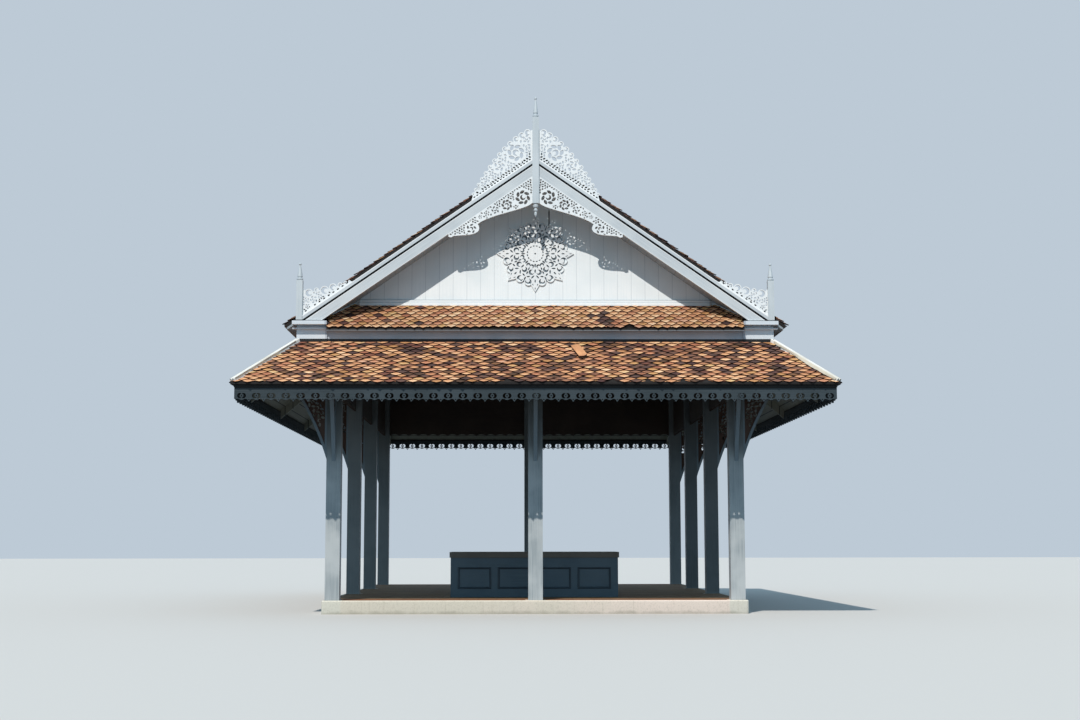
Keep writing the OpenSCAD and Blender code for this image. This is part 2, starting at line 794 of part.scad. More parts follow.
// Fretwork under the bargeboards: a long sweep, a notch and a hanging lobe with a tail
barge_rosettes = [[134, 4300, 88], [300, 4222, 66], [420, 4167, 48], [508, 4131, 36], [578, 4093, 27],
    [668, 3970, 60]];
barge_notch = [603, 4018];
barge_end = 905;
module barge_fretwork() {
    sweep = curve([[fret_inner, 4243], [100, 4170], [480, 4120], barge_notch], 12);
    lobe = curve([barge_notch, [556, 3950], [600, 3902], [780, 3898]], 10);
    tail = [[850, 3892], [880, 3876], [barge_end, 3884]];
    low = function(x) (x < barge_notch[0]) ? lookup(x, sweep)
        : lookup(x, [for (p = concat(lobe, tail)) if (p[0] > barge_notch[0]) p]);
    high = function(x) barge_line(barge_low, x);
    gable_board() difference() {
        polygon(concat([[fret_inner, high(fret_inner)]], sweep, lobe, tail, [[barge_end, high(barge_end)]]));
        rosettes(barge_rosettes);
        leaf_rows([fret_inner, barge_end], barge_low - 406, barge_slope, 15, [27, 16],
            barge_rosettes, low, high);
    }
}

// Wing fretwork: fills the corner between a finial post and the cap
wing_outer = finial_x - finial_side / 2;
wing_tip = [1893, 3412];
wing_lobes = [[1925, 3413, 13], [1965, 3397, 19], [2020, 3375, 26], [2092, 3350, 40], [2178, 3318, 46],
    [2262, 3322, 25], [2340, 3290, 44]];
wing_rosettes = [[2290, 3222, 46], [2350, 3150, 32]];
module wing_fretwork() {
    low = function(x) barge_line(barge_cap, x);
    top = concat([wing_tip], [for (spot = wing_lobes) [spot[0], spot[1]]], [[wing_outer, 3335]]);
    high = function(x) lookup(x, top);
    gable_board() difference() {
        union() {
            polygon(concat(top, [[wing_outer, low(wing_outer)], [wing_tip[0], low(wing_tip[0])]]));
            lobes(wing_lobes);
        }
        lobe_curls(wing_lobes);
        rosettes(wing_rosettes);
        oval_row([wing_tip[0] + 55, wing_outer - 20], barge_cap + 29, barge_slope, 57, [28, 16],
            wing_rosettes);
        leaf_rows([wing_tip[0], wing_outer], barge_cap + 54, barge_slope, 10, [25, 14],
            concat(wing_rosettes, wing_lobes), low, high);
    }
}

// Bench: a framed box with four sunk panels on its long sides, and a lid that is fixed on it
panels = 4;
panel_w = 365;
panel_h = 235;
panel_step = 436;
panel_foot = 90;
panel_sink = 12;
module bench_body() {
    h = bench_h - bench_lid_d;
    color("darkslategray") difference() {
        translate([-bench_w / 2, -bench_front, plinth_top]) cube([bench_w, bench_d, h]);
        for (y = [-bench_front, -bench_front + bench_d])
            for (i = [0 : panels - 1])
                translate([(i - 1.5) * panel_step - panel_w / 2, y - panel_sink, plinth_top + panel_foot])
                    cube([panel_w, 2 * panel_sink, panel_h]);
    }
}

module bench_lid() {
    color("darkslategray")
        translate([-bench_w / 2 - bench_lip, -bench_front - bench_lip, plinth_top + bench_h - bench_lid_d])
            cube([bench_w + 2 * bench_lip, bench_d + 2 * bench_lip, bench_lid_d]);
}

plinth();
floor_paving();
post(-half_w, -half_d);  // post_front_left
post(0, -half_d);  // post_front_middle
post(half_w, -half_d);  // post_front_right
post(-half_w, -bay / 2);  // post_left_front
post(-half_w, bay / 2);  // post_left_back
post(half_w, -bay / 2);  // post_right_front
post(half_w, bay / 2);  // post_right_back
post(-half_w, half_d);  // post_back_left
post(0, half_d);  // post_back_middle
post(half_w, half_d);  // post_back_right
brackets(FRONT);  // brackets_front
brackets(RIGHT);  // brackets_right
brackets(BACK);  // brackets_back
brackets(LEFT);  // brackets_left
valance(FRONT);  // valance_front
valance(RIGHT);  // valance_right
valance(BACK);  // valance_back
valance(LEFT);  // valance_left
wall_plates();
roof_trusses();
ridge_beam();
skirt_roof(FRONT);  // skirt_roof_front
skirt_roof(RIGHT);  // skirt_roof_right
skirt_roof(BACK);  // skirt_roof_back
skirt_roof(LEFT);  // skirt_roof_left
hip_rafters();
hip_caps();
fringe(FRONT);  // fringe_front
fringe(RIGHT);  // fringe_right
fringe(BACK);  // fringe_back
fringe(LEFT);  // fringe_left
frieze(FRONT);  // frieze_front
frieze(RIGHT);  // frieze_right
frieze(BACK);  // frieze_back
frieze(LEFT);  // frieze_left
foot_roof();  // foot_roof_front
rotate([0, 0, 180]) foot_roof();  // foot_roof_back
gable_wall();  // gable_wall_front
rotate([0, 0, 180]) gable_wall();  // gable_wall_back
gable_stars();
main_roof(1);  // main_roof_left
main_roof(0);  // main_roof_right
ridge_cap();
bargeboards();  // bargeboards_front
rotate([0, 0, 180]) bargeboards();  // bargeboards_back
king_posts();
finial_posts();
crest_fretwork();
barge_fretwork();
wing_fretwork();
bench_body();
bench_lid();
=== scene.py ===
import json

import bpy
import numpy as np
from mathutils import Euler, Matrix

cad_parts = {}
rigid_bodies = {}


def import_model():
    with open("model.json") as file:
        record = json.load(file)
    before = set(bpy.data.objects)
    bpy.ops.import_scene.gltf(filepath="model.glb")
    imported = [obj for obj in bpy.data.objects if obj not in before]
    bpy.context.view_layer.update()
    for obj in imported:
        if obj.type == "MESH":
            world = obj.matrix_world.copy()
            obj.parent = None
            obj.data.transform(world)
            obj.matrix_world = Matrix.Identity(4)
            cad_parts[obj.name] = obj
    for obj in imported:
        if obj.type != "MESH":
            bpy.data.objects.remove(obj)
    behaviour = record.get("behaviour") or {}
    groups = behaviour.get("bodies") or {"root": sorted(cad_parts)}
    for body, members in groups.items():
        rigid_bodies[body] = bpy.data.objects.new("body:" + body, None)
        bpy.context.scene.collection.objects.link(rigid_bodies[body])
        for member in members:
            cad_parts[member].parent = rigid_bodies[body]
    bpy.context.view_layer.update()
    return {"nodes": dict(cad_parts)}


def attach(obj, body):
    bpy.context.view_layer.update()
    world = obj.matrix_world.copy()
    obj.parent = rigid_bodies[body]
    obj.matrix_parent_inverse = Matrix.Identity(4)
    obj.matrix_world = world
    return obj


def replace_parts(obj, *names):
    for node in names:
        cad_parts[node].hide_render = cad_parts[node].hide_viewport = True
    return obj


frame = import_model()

scene = bpy.context.scene

# The view: a long lens at sitting height, sixteen metres in front of the front gable and a little to
# its left, tilted up so that the eaves and both gable corners are in the frame.
camera = bpy.data.objects.new("view", bpy.data.cameras.new("view"))
camera.data.sensor_width = 36
camera.data.lens = 52.33
camera.location = (-0.220, -19.607, 0.721)
camera.rotation_euler = Euler(np.radians((96.667, 0.071, -0.932)))
scene.collection.objects.link(camera)
scene.camera = camera
scene.view_settings.view_transform = "Standard"


# The light: a sun from the left of the front, which stands lower for the gables than for the roofs and
# what they shade, and an even blue sky. The floor is a plain pale sheet that keeps the shadow.
def linear(code):
    """The linear colour of an sRGB hex value, by the two-part sRGB curve."""
    srgb = np.array([int(code[i:i + 2], 16) for i in (1, 3, 5)]) / 255
    flat = np.where(srgb <= 0.04045, srgb / 12.92, ((srgb + 0.055) / 1.055) ** 2.4)
    return (*(float(value) for value in flat), 1.0)


def add(tree, kind, settings=None, out=None):
    """Adds a shader node and gives one of its outputs. A setting that isn't a socket is a property; a
    socket takes a number, a colour as an sRGB code, or a link from another node's output."""
    made = tree.nodes.new("ShaderNode" + kind)
    for name, value in (settings or {}).items():
        sockets = {socket.identifier: socket for socket in made.inputs}
        if isinstance(name, str) and name not in sockets:
            setattr(made, name, value)
            continue
        socket = made.inputs[name] if isinstance(name, int) else sockets[name]
        if isinstance(value, bpy.types.NodeSocket):
            tree.links.new(value, socket)
        else:
            socket.default_value = linear(value) if isinstance(value, str) else value
    return made.outputs[out] if out else next(end for end in made.outputs if end.enabled)


def new_finish(name, roughness, specular=0.4):
    """A new material: gives it, its node tree, its Principled shader and the place on the piece in metres."""
    finish = bpy.data.materials.new(name)
    finish.use_nodes = True
    tree = finish.node_tree
    shader = tree.nodes["Principled BSDF"]
    shader.inputs["Roughness"].default_value = roughness
    shader.inputs["Specular IOR Level"].default_value = specular
    return finish, tree, shader, add(tree, "TexCoord", out="Object")


def piece(name, points, faces, finish, slot=None):
    """One mesh object from an array of points and an array of four-cornered faces, with its place in it.
    With a slot name it belongs to the object and rides on it."""
    mesh = bpy.data.meshes.new(name)
    points, faces = np.asarray(points, float).reshape(-1, 3), np.asarray(faces, int).reshape(-1, 4)
    mesh.vertices.add(len(points))
    mesh.vertices.foreach_set("co", points.ravel())
    mesh.loops.add(faces.size)
    mesh.loops.foreach_set("vertex_index", faces.ravel())
    mesh.polygons.add(len(faces))
    mesh.polygons.foreach_set("loop_start", np.arange(0, faces.size, 4))
    mesh.update(calc_edges=True)
    mesh.validate()
    mesh.materials.append(finish)
    made = bpy.data.objects.new(name, mesh)
    scene.collection.objects.link(made)
    if slot:
        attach(made, "root")
    return made


world = bpy.data.worlds.new("sky")
scene.world = world
world.use_nodes = True
sky = world.node_tree
ray = add(sky, "LightPath", out="Is Camera Ray")
seen = add(sky, "Math", {"operation": "MAXIMUM", 0: ray, 1: ray.node.outputs["Is Glossy Ray"]})
seen = add(sky, "Math", {"operation": "MAXIMUM", 0: seen, 1: ray.node.outputs["Is Transmission Ray"]})
fill = add(sky, "Background", {"Color": "#b6e1ff", "Strength": 0.60})
backdrop = add(sky, "Background", {"Color": "#bdcad6", "Strength": 1.0})
sky.links.new(add(sky, "MixShader", {0: seen, 1: fill, 2: backdrop}), sky.nodes["World Output"].inputs[0])

# Each lamp's strength, and its direction in degrees down from overhead and round from the front
SUN_WIDTH = np.radians(0.53)
lit_by = {}
for lamp, strength, down, turned in (("gable_lamp", 2.8, 54.9, -11.7), ("eave_lamp", 3.3, 37.3, -22.5)):
    sun = bpy.data.objects.new(lamp, bpy.data.lights.new(lamp, "SUN"))
    sun.data.energy = strength
    sun.data.angle = SUN_WIDTH
    sun.data.color = linear("#fffbf5")[:3]
    sun.rotation_euler = Euler(np.radians((down, 0, turned)))
    sun.light_linking.receiver_collection = lit_by[lamp] = bpy.data.collections.new(lamp)
    scene.collection.objects.link(sun)

# The sheet looks pale, but throws only a grey light back up, so that the soffits stay dark.
FLOOR_HALF = 60
pale_sheet, tree, shader = new_finish("pale_sheet", 0.9)[:3]
ray = add(tree, "LightPath", out="Is Camera Ray")
sheet = add(tree, "Mix", {"data_type": "RGBA", "Factor_Float": ray,
                          "A_Color": "#56595b", "B_Color": "#cbc7c2"})
tree.links.new(sheet, shader.inputs["Base Color"])
square = np.array([(-1, -1, 0), (1, -1, 0), (1, 1, 0), (-1, 1, 0)])
piece("floor_sheet", square * FLOOR_HALF, [(0, 1, 2, 3)], pale_sheet)

# Plinth: one low slab of concrete cast in a board mould, its arris rubbed round and a level pad left
# under each post. The faces carry a cream limewash; the blocks at the corners were made good later.
BAY = 2.10
HALF_W, HALF_D = BAY, 1.5 * BAY
PAD, RIM, ARRIS, TUCK = 0.105, 0.04, 0.016, 0.01
PLINTH_W, PLINTH_D, PLINTH_TOP, FIELD_TOP = HALF_W + PAD, HALF_D + PAD, 0.14, 0.12
BLOCK_EDGE, BLOCK_FADE, BED_IN, PAD_GAP = 2.03, 0.01, 0.004, 0.002


def show(tree, shader, colour, height, depth):
    """Links a colour to the shader, and a height from 0 to 1 as relief of that depth in metres."""
    tree.links.new(colour, shader.inputs["Base Color"])
    tree.links.new(add(tree, "Bump", {"Strength": 1.0, "Distance": depth, "Height": height}),
                   shader.inputs["Normal"])


def grid_faces(rows, columns, wrap=False):
    """Four-cornered faces of a grid of points, row by row; wrap joins the last row to the first."""
    row = np.arange(rows if wrap else rows - 1)[:, None]
    column = np.arange(columns - 1)[None, :]
    here, there = row * columns, ((row + 1) % rows) * columns
    return np.stack([here + column, there + column, there + column + 1, here + column + 1],
                    axis=2).reshape(-1, 4)


def carried(outline, half_x, half_y, radius, steps=6):
    """A band round a rectangle: each outline point (outwards, up) runs round the rectangle grown by
    outwards, whose corner radius grows with it and stays over 1 mm. Point = corner centre + radius *
    the turn's direction, at height up."""
    out, up = np.asarray(outline, float).T
    turn = np.radians((np.arange(4)[:, None] * 90 + np.linspace(0, 90, steps)).ravel())
    corner = np.repeat(np.array([(1, 1), (-1, 1), (-1, -1), (1, -1)]), steps, axis=0)[:, None, :]
    unit = np.stack([np.cos(turn), np.sin(turn)], axis=1)[:, None, :]
    bend = np.maximum(radius + out, 0.001)[None, :, None]
    half = np.stack([half_x + out, half_y + out], axis=1)[None]
    flat = corner * (half - bend) + unit * bend
    points = np.concatenate([flat, np.broadcast_to(up[None, :, None], flat.shape[:2] + (1,))], axis=2)
    return points.reshape(-1, 3), grid_faces(len(turn), len(out), wrap=True)


def joined(*shapes):
    """Several (points, faces) pairs as one, each pair's faces counted on from the points before it."""
    starts = np.cumsum([0] + [len(points) for points, faces in shapes[:-1]])
    return (np.concatenate([points for points, faces in shapes]),
            np.concatenate([faces + start for (points, faces), start in zip(shapes, starts)]))


# Limewashed concrete gives a fine sandy face, cloudy cream and pink, with rain streaks and a damp foot.
# Here and below, the scale of a pattern is 1000 over its size in millimetres. Sand, pits, wood grain and
# brush marks are finer than a pixel of the render, so they are drawn 8 to 17 mm coarse to show.
concrete, tree, shader, place = new_finish("limewashed_concrete", 0.9, 0.3)
x = add(tree, "SeparateXYZ", {"Vector": place})
z = x.node.outputs["Z"]
clouds = add(tree, "TexNoise", {"Scale": 1000 / 588, "Detail": 5.0, "Vector": place})
pink = add(tree, "MapRange", {"From Min": -1.5, "From Max": 2.0, "Value": x})
pink = add(tree, "Math", {"operation": "ADD", 0: pink, 1: clouds})
pink = add(tree, "MapRange", {"interpolation_type": "SMOOTHSTEP", "From Min": 0.75, "From Max": 1.35,
                              "Value": pink})
wash = add(tree, "Mix", {"data_type": "RGBA", "Factor_Float": pink,
                         "A_Color": "#ddd3c1", "B_Color": "#efddce"})
wobble = add(tree, "TexNoise", {"Scale": 1000 / 111, "Vector": place})
edge = add(tree, "Math", {"operation": "ABSOLUTE", 0: x})
edge = add(tree, "Math", {"operation": "MULTIPLY_ADD", 0: wobble, 1: 0.05, 2: edge})
block = add(tree, "MapRange", {"From Min": BLOCK_EDGE - BLOCK_FADE, "From Max": BLOCK_EDGE + BLOCK_FADE,
                               "To Max": 0.8, "Value": edge})
wash = add(tree, "Mix", {"data_type": "RGBA", "Factor_Float": block, "A_Color": wash, "B_Color": "#ddd9ca"})
upright = add(tree, "Mapping", {"Vector": place, "Scale": (1000 / 29.4, 1000 / 29.4, 1000 / 667)})
streak = add(tree, "TexNoise", {"Scale": 1.0, "Detail": 4.0, "Vector": upright})
streak = add(tree, "MapRange", {"interpolation_type": "SMOOTHSTEP", "From Min": 0.56, "From Max": 0.80,
                                "To Max": 0.30, "Value": streak})
wash = add(tree, "Mix", {"data_type": "RGBA", "Factor_Float": streak, "A_Color": wash, "B_Color": "#a79a84"})
foot = add(tree, "Math", {"operation": "MULTIPLY_ADD", 0: wobble, 1: 0.06, 2: z})
foot = add(tree, "MapRange", {"From Min": 0.065, "From Max": 0.032, "To Max": 0.5, "Value": foot})
wash = add(tree, "Mix", {"data_type": "RGBA", "Factor_Float": foot, "A_Color": wash, "B_Color": "#958f7c"})
grit = add(tree, "TexNoise", {"Scale": 1000 / 14.3, "Detail": 6.0, "Roughness": 0.7, "Vector": place})
sand = add(tree, "MapRange", {"From Min": 0.50, "From Max": 0.72, "To Max": 0.35, "Value": grit})
wash = add(tree, "Mix", {"data_type": "RGBA", "Factor_Float": sand, "A_Color": wash, "B_Color": "#958b7a"})
trowel = add(tree, "TexNoise", {"Scale": 1000 / 38.5, "Vector": place})
show(tree, shader, wash, add(tree, "Math", {"operation": "ADD", 0: grit, 1: trowel}), 0.0015)

turn = np.radians(np.linspace(0, 90, 5))
arris = np.stack([-ARRIS + ARRIS * np.cos(turn), PLINTH_TOP - ARRIS + ARRIS * np.sin(turn)], axis=1)
sides = carried([(0.0, 0.0), *arris, (-RIM, PLINTH_TOP), (-RIM, FIELD_TOP - TUCK)],
                PLINTH_W, PLINTH_D, radius=0.025)
corner = np.array([(-1, -1), (-1, 1), (1, 1), (1, -1)])
under = np.column_stack([corner * (PLINTH_W - BED_IN, PLINTH_D - BED_IN), np.zeros(4)])
pads = []
for x_post, y_post in ((x, y) for x in (-HALF_W, 0.0, HALF_W) for y in (-HALF_D, -BAY / 2, BAY / 2, HALF_D)
                       if x or abs(y) == HALF_D):
    points, faces = carried([(0.0, FIELD_TOP - TUCK), (0.0, PLINTH_TOP), (PAD_GAP - PAD, PLINTH_TOP)],
                            PAD, PAD, radius=0.004, steps=2)
    inside = np.array([PLINTH_W - RIM / 2, PLINTH_D - RIM / 2, 1.0])
    pads.append((np.clip(points + (x_post, y_post, 0), -inside, inside), faces))
points, faces = joined(sides, (under, np.array([(0, 1, 2, 3)])), *pads)
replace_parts(piece("plinth_slab", points, faces, concrete, "concrete"), "plinth")


# Paving: square clay tiles of 200 mm bedded in mortar in the sunk field of the slab, worn and dusty. The
# rows along the front and back edges are redder than the rest.
def dress(finish, *starts):
    """Gives the CAD nodes whose names start so their finish, in every material slot."""
    for name, node in frame["nodes"].items():
        if name.startswith(starts):
            for index in range(len(node.data.materials)):
                node.data.materials[index] = finish


# Clay paving gives matt squares that differ a little, dull brown where feet go, in thin grey joints.
PAVER, JOINT, EDGE_ROWS = 0.2, 0.003, 2.8
paving, tree, shader, place = new_finish("clay_paving", 0.75)
pavers = add(tree, "TexBrick", {"offset": 0.0, "Vector": place, "Scale": 1.0, "Mortar Size": JOINT,
                                "Mortar Smooth": 0.3, "Brick Width": PAVER, "Row Height": PAVER,
                                "Color1": "#8c7354", "Color2": "#7b6145", "Mortar": "#695a45"})
y = add(tree, "SeparateXYZ", {"Vector": place}, out="Y")
y = add(tree, "Math", {"operation": "ABSOLUTE", 0: y})
edging = add(tree, "Math", {"operation": "GREATER_THAN", 0: y, 1: EDGE_ROWS})
tone = add(tree, "Mix", {"data_type": "RGBA", "blend_type": "MULTIPLY", "Factor_Float": edging,
                         "A_Color": pavers, "B_Color": "#ffc9a8"})
dust = add(tree, "TexNoise", {"Scale": 1000 / 625, "Detail": 5.0, "Vector": place})
dust = add(tree, "MapRange", {"interpolation_type": "SMOOTHSTEP", "From Min": 0.42, "From Max": 0.7,
                              "To Max": 0.5, "Value": dust})
tone = add(tree, "Mix", {"data_type": "RGBA", "Factor_Float": dust, "A_Color": tone, "B_Color": "#665944"})
grain = add(tree, "TexNoise", {"Scale": 1000 / 16.7, "Vector": place})
relief = add(tree, "Math", {"operation": "SUBTRACT", 0: grain, 1: pavers.node.outputs["Fac"]})
show(tree, shader, tone, relief, 0.002)
dress(paving, "floor_paving")


# Posts: ten squared hardwood posts of 150 mm, each standing on its pad, planed and painted blue-grey.
# The joints of all the painted timber are closed with putty, so only brush marks and wear show. The side
# and back posts are painted a darker blue-grey and the right ones darker still, as painted shade for the
# shade under the roof. The heads of the front posts, behind the brackets, are painted grey as painted
# shade under the eave.
def painted_timber(name, colour, faded, wear, along="Z", slope=0.0):
    """Paint over planed wood, half matt. Brush marks are noise 12.5 mm across and half a metre along the
    grain; the coat fades in patches of 0.4 m and is rubbed bare in flecks of nearly twice the marks' size.
    With a slope the grain runs down it on both sides of the middle, so the place is folded at x = 0 and
    turned by the slope."""
    finish, tree, shader, place = new_finish(name, 0.5)
    if slope:
        x = add(tree, "SeparateXYZ", {"Vector": place})
        place = add(tree, "CombineXYZ", {"X": add(tree, "Math", {"operation": "ABSOLUTE", 0: x}),
                                         "Y": x.node.outputs["Y"], "Z": x.node.outputs["Z"]})
        place = add(tree, "Mapping", {"Vector": place, "Rotation": (0, -slope, 0)})
    scale = tuple(1000 / 500 if axis == along else 1000 / 12.5 for axis in "XYZ")
    lengthways = add(tree, "Mapping", {"Vector": place, "Scale": scale})
    brush = add(tree, "TexNoise", {"Scale": 1.0, "Detail": 3.0, "Vector": lengthways})
    patch = add(tree, "TexNoise", {"Scale": 1000 / 400, "Detail": 4.0, "Vector": place})
    patch = add(tree, "MapRange", {"interpolation_type": "SMOOTHSTEP", "From Min": 0.38, "From Max": 0.66,
                                   "Value": patch})
    tone = add(tree, "Mix", {"data_type": "RGBA", "Factor_Float": patch,
                             "A_Color": colour, "B_Color": faded})
    marks = add(tree, "MapRange", {"From Min": 0.42, "From Max": 0.68, "To Max": 0.7, "Value": brush})
    tone = add(tree, "Mix", {"data_type": "RGBA", "Factor_Float": marks, "A_Color": tone, "B_Color": faded})
    fleck = add(tree, "TexNoise", {"Scale": 0.6, "Detail": 6.0, "Roughness": 0.7, "Vector": lengthways})
    fleck = add(tree, "MapRange", {"From Min": 0.64, "From Max": 0.78, "To Max": wear, "Value": fleck})
    tone = add(tree, "Mix", {"data_type": "RGBA", "Factor_Float": fleck,
                             "A_Color": tone, "B_Color": "#7d7a72"})
    matt = add(tree, "MapRange", {"From Min": 0.3, "From Max": 0.7, "To Min": 0.42, "To Max": 0.62,
                                  "Value": brush})
    tree.links.new(matt, shader.inputs["Roughness"])
    show(tree, shader, tone, brush, 0.0012)
    return finish, tree, shader


def line_over(tree, shader, amount, colour):
    """Lays a line of colour over the finish, where the amount is 1."""
    under = shader.inputs["Base Color"].links[0].from_socket
    mixed = add(tree, "Mix", {"data_type": "RGBA", "Factor_Float": amount,
                              "A_Color": under, "B_Color": colour})
    tree.links.new(mixed, shader.inputs["Base Color"])


EAVE_SHADE_FROM, EAVE_SHADE_FULL = 1.50, 1.80
# Painted shade: the front posts are painted greyer from 1.5 m up, for the shade of the eave.
front_post_paint, tree, shader = painted_timber("weathered_post_paint", "#a3aaac", "#c9cccb", 0.6)
z = add(tree, "SeparateXYZ", {"Vector": add(tree, "TexCoord", out="Object")}, out="Z")
darkened = add(tree, "MapRange", {"interpolation_type": "SMOOTHSTEP", "From Min": EAVE_SHADE_FROM,
                               "From Max": EAVE_SHADE_FULL, "To Max": 0.7, "Value": z})
line_over(tree, shader, darkened, "#5b5f5e")
dress(front_post_paint, "post_front")
# Painted shade: darker copies of the post paint for the posts that stand under the roof.
dress(painted_timber("post_paint", "#7f8788", "#8f9596", 0.2)[0], "post_left", "post_back")
dress(painted_timber("shaded_post_paint", "#676e70", "#757b7d", 0.2)[0], "post_right")

# Valances: boards between the post heads with a scalloped foot, and the wall plates that they hide. Both
# are hardwood left in a dark brown oil stain, which gives a dull sheen along the grain.
dress(painted_timber("brown_stain", "#3d3028", "#4c3d33", 0.1, along="X")[0], "valance", "wall_plates")


# Brackets: a fretted board in the angle of each post and the eave, with a bent rim of three times its
# thickness. The rim is painted grey-blue, paler than the fringe; the fill is stained reddish brown.
FILL_HALF = 0.009


def bracket_finish(name, across, first):
    """Rim paint or fill stain by the distance from the bracket's middle plane: posts stand every bay
    from first, and the fill's faces look across it within 9 mm of the plane through them."""
    finish, tree, shader = painted_timber(name, "#87949b", "#98a3a9", 0.15)
    off = add(tree, "SeparateXYZ", {"Vector": add(tree, "TexCoord", out="Object")}, out=across)
    off = add(tree, "Math", {"operation": "SUBTRACT", 0: off, 1: first})
    off = add(tree, "Math", {"operation": "PINGPONG", 0: off, 1: BAY / 2})
    near = add(tree, "Math", {"operation": "LESS_THAN", 0: off, 1: FILL_HALF})
    facing = add(tree, "SeparateXYZ", {"Vector": add(tree, "NewGeometry", out="True Normal")}, out=across)
    facing = add(tree, "Math", {"operation": "ABSOLUTE", 0: facing})
    facing = add(tree, "Math", {"operation": "GREATER_THAN", 0: facing, 1: 0.5})
    line_over(tree, shader, add(tree, "Math", {"operation": "MULTIPLY", 0: near, 1: facing}), "#5a3f31")
    return finish


dress(bracket_finish("front_bracket_paint", "X", 0.0), "brackets_front", "brackets_back")
dress(bracket_finish("side_bracket_paint", "Y", BAY / 2), "brackets_left", "brackets_right")

# Roof carcass: king-post trusses, ridge beam and hip rafters in rough-sawn hardwood, black with age.
# It gives a dull, nearly even dark brown.
dress(painted_timber("aged_hardwood", "#35302b", "#453e36", 0.1)[0],
      "roof_trusses", "ridge_beam", "hip_rafters")


# Roof decks: boards of 120 mm laid along the eave on rafters, painted a dull olive grey from below,
# with the bed of clay in which the tiles lie on top. The bed is painted near-black: partly its own dark
# clay, and partly painted shade under and between the tiles.
DECK_BOARD, SEAM_HALF = 0.120, 0.0035
# A deck that falls only to the front and back, or only to the sides, has an endless half size the other way
ENDLESS = 100.0


def decking(name, colour, seam_colour, edge, edge_colour, half_x, half_y, top, reach, angle, bed):
    """Boards under a bed. r = the larger of |x| - half_x and |y| - half_y is the distance out from the
    wall, n = (z - top + tan(angle) * (r - reach)) * cos(angle) the height over the tile plane: the bed is
    above n = -bed, a seam falls at every board's width of r / cos(angle), and the edge board starts at
    r = edge."""
    finish, tree, shader = painted_timber(name, colour, colour, 0.2, along="X" if half_x == ENDLESS else "Y")
    x = add(tree, "SeparateXYZ", {"Vector": add(tree, "TexCoord", out="Object")})
    r = []
    for side, half in ((x, half_x), (x.node.outputs["Y"], half_y)):
        side = add(tree, "Math", {"operation": "ABSOLUTE", 0: side})
        r.append(add(tree, "Math", {"operation": "SUBTRACT", 0: side, 1: half}))
    r = add(tree, "Math", {"operation": "MAXIMUM", 0: r[0], 1: r[1]})
    seam = add(tree, "Math", {"operation": "PINGPONG", 0: r, 1: float(DECK_BOARD / 2 * np.cos(angle))})
    line_over(tree, shader, add(tree, "Math", {"operation": "LESS_THAN", 0: seam, 1: SEAM_HALF}), seam_colour)
    line_over(tree, shader, add(tree, "Math", {"operation": "GREATER_THAN", 0: r, 1: edge}), edge_colour)
    level = float(top + np.tan(angle) * reach - bed / np.cos(angle))
    n = add(tree, "Math", {"operation": "MULTIPLY_ADD", 0: r, 1: float(np.tan(angle)),
                           2: x.node.outputs["Z"]})
    # Painted shade: above n = -bed the deck is near-black, partly its clay and partly the shade under the
    # tiles.
    line_over(tree, shader, add(tree, "Math", {"operation": "GREATER_THAN", 0: n, 1: level}), "#15100e")
    return finish


# The skirt's tile plane starts at the frieze, and ends at the eave; both are measured out from the posts.
SKIRT_TOP, FRIEZE, EAVE, SKIRT_ANGLE = 2.790, 0.365, 0.935, np.radians(40)
# Painted shade: on the skirt the edge board at the eave is near-black, for the shade under the tile tails.
dress(decking("skirt_boards", "#a5a698", "#2a2722", edge=0.900, edge_colour="#11181a", half_x=HALF_W,
              half_y=HALF_D, top=SKIRT_TOP, reach=FRIEZE, angle=SKIRT_ANGLE, bed=0.034), "skirt_roof")

# Roof tiles: plain clay tiles with a pointed tail, laid so that each row steps half a tile. Hand-made, so
# no two lie quite alike, and fired from peach to dark brown; soot and moss blacken many. Every tile is
# painted darker at its head, tail, rim and underside, partly dirt and partly painted shade under and
# between the tiles, and lighter just inside its tail as a painted highlight.
# Fired clay gives a dry, slightly sandy face whose colour changes from tile to tile and clouds within one.
clay, tree, shader, place = new_finish("fired_clay", 0.8, 0.3)
stain = add(tree, "TexNoise", {"Scale": 1000 / 62.5, "Detail": 6.0, "Roughness": 0.7, "Vector": place})
# Within a tile the firing clouds by up to 0.22 either way
firing = add(tree, "Attribute", {"attribute_name": "firing"}, out="Fac")
firing = add(tree, "Math", {"operation": "MULTIPLY_ADD", 0: stain, 1: 0.44, 2: firing})
firing = add(tree, "Math", {"operation": "SUBTRACT", 0: firing, 1: 0.22})
tone = add(tree, "ValToRGB", {0: firing})
stops = ((0.0, "#261c1c"), (0.2, "#5a4540"), (0.4, "#966850"), (0.58, "#c68a62"), (0.76, "#e3a97a"),
         (1.0, "#f4cfa6"))
while len(tone.node.color_ramp.elements) < len(stops):
    tone.node.color_ramp.elements.new(0.5)
for stop, (position, colour) in zip(tone.node.color_ramp.elements, stops):
    stop.position, stop.color = position, linear(colour)
# By their place in the kiln some tiles come out purplish and a few olive
kiln = add(tree, "Attribute", {"attribute_name": "kiln"}, out="Fac")
for first, last, share, tint in ((0.72, 0.86, 0.55, "#c99fae"), (0.20, 0.08, 0.5, "#c9cb92")):
    amount = add(tree, "MapRange", {"From Min": first, "From Max": last, "To Max": share, "Value": kiln})
    tone = add(tree, "Mix", {"data_type": "RGBA", "blend_type": "MULTIPLY", "Factor_Float": amount,
                             "A_Color": tone, "B_Color": tint})
show(tree, shader, tone, add(tree, "TexNoise", {"Scale": 1000 / 8.33, "Vector": place}), 0.0012)


def slope_axes(turned, angle):
    """Outward, across and down unit vectors of a slope that faces the front turned by so many degrees,
    and its upward normal, for a fall of that angle."""
    a = np.radians(turned)
    outward = np.array([np.sin(a), -np.cos(a), 0.0])
    across = np.array([np.cos(a), np.sin(a), 0.0])
    down = outward * np.cos(angle) - (0, 0, np.sin(angle))
    return outward, across, down, -np.cross(across, down)


CROWN, HIGHLIGHT_INSET = 0.003, 0.010


